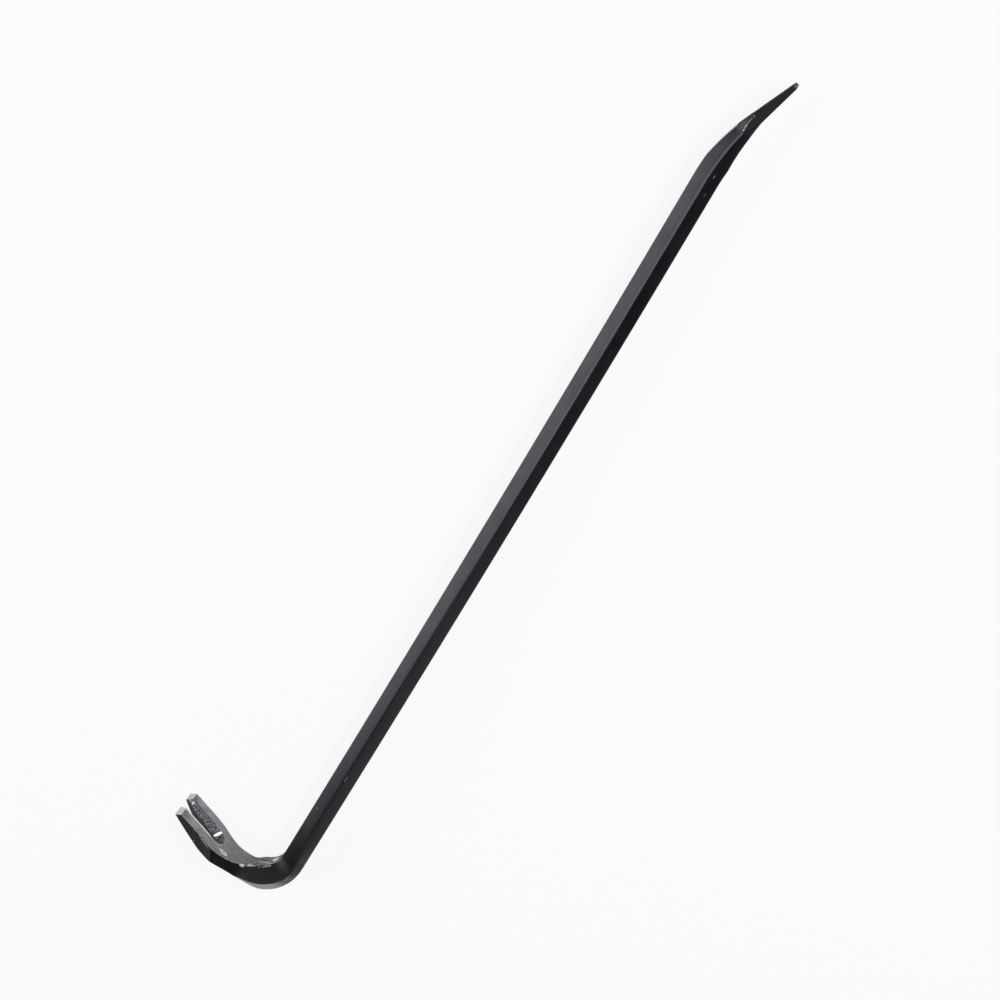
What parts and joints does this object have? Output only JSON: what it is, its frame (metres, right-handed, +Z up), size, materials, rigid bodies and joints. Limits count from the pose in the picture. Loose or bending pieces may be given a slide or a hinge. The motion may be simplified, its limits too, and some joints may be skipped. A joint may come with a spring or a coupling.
{
  "type": "claw bar",
  "caption": "Forged hexagonal steel pry bar with a gooseneck hook ending in a slotted nail claw and a flattened chisel at the other end.",
  "frame": {"origin": "centre of the footprint, on the plane that the claw's lower side face rests on", "axes": "+X along the shank towards the chisel, +Y towards the open side of the hook, +Z up, across the claw's width"},
  "size_m": [0.9, 0.1416, 0.045],
  "materials": {
    "forged_bar": "thin black enamel on forged steel, satin, worn to bare steel at the claw's ends and edges"
  },
  "bodies": {
    "root": {"forged_bar": "forged_bar"}
  },
  "joints": []
}
